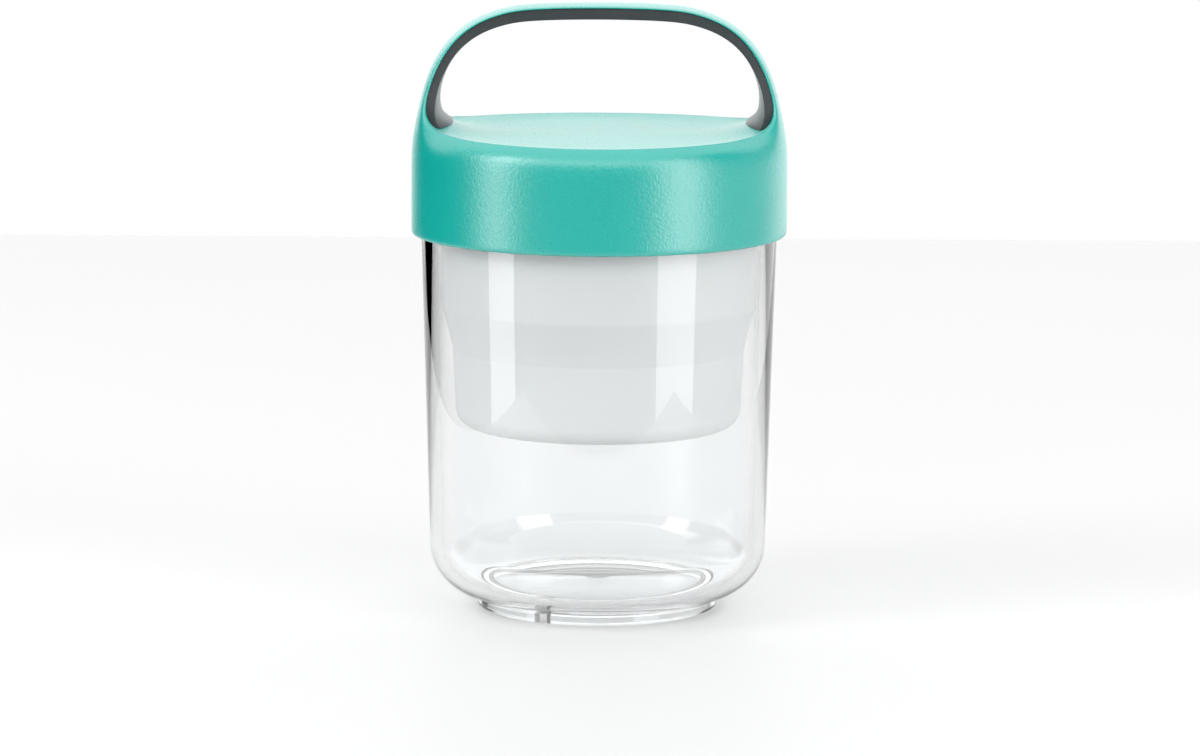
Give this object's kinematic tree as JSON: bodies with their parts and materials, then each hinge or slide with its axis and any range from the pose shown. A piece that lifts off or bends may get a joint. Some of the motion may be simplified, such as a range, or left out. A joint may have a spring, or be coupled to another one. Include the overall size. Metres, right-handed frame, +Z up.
{
  "type": "to-go jar",
  "caption": "Clear to-go food jar with an inner pot hanging in its mouth and a screw lid with an arched carrying handle.",
  "frame": {"origin": "centre of the jar's foot, on the surface that it stands on", "axes": "+Z up along the jar's axis; the arched handle spans X; -Y is the side that faces the camera in the picture"},
  "size_m": [0.1, 0.1, 0.1615],
  "materials": {
    "clear_jar": "polished, clear",
    "milky_pot": "satin, milky",
    "teal_lid": "fine matte",
    "dark_grip": "soft-touch, fine grain",
    "lid_ring": "satin silicone",
    "pot_ring": "satin silicone"
  },
  "bodies": {
    "jar": {"jar_body": "clear_jar"},
    "pot": {"inner_pot": "milky_pot", "pot_seal": "pot_ring"},
    "seal": {"lid_seal": "lid_ring"},
    "lid": {"lid_shell": "teal_lid", "handle_grip": "dark_grip"}
  },
  "joints": [
    {"name": "pot_lift", "type": "slide", "parent": "jar", "child": "pot", "axis": [0, 0, 1], "range_m": [0, 0.085]},
    {"name": "lid_lift", "type": "slide", "parent": "pot", "child": "seal", "axis": [0, 0, 1], "range_m": [0, 0.06]},
    {"name": "lid_turn", "type": "hinge", "parent": "seal", "child": "lid", "pos_m": [0, 0, 0.11], "axis": [0, 0, 1], "range_deg": [0, 450]}
  ]
}
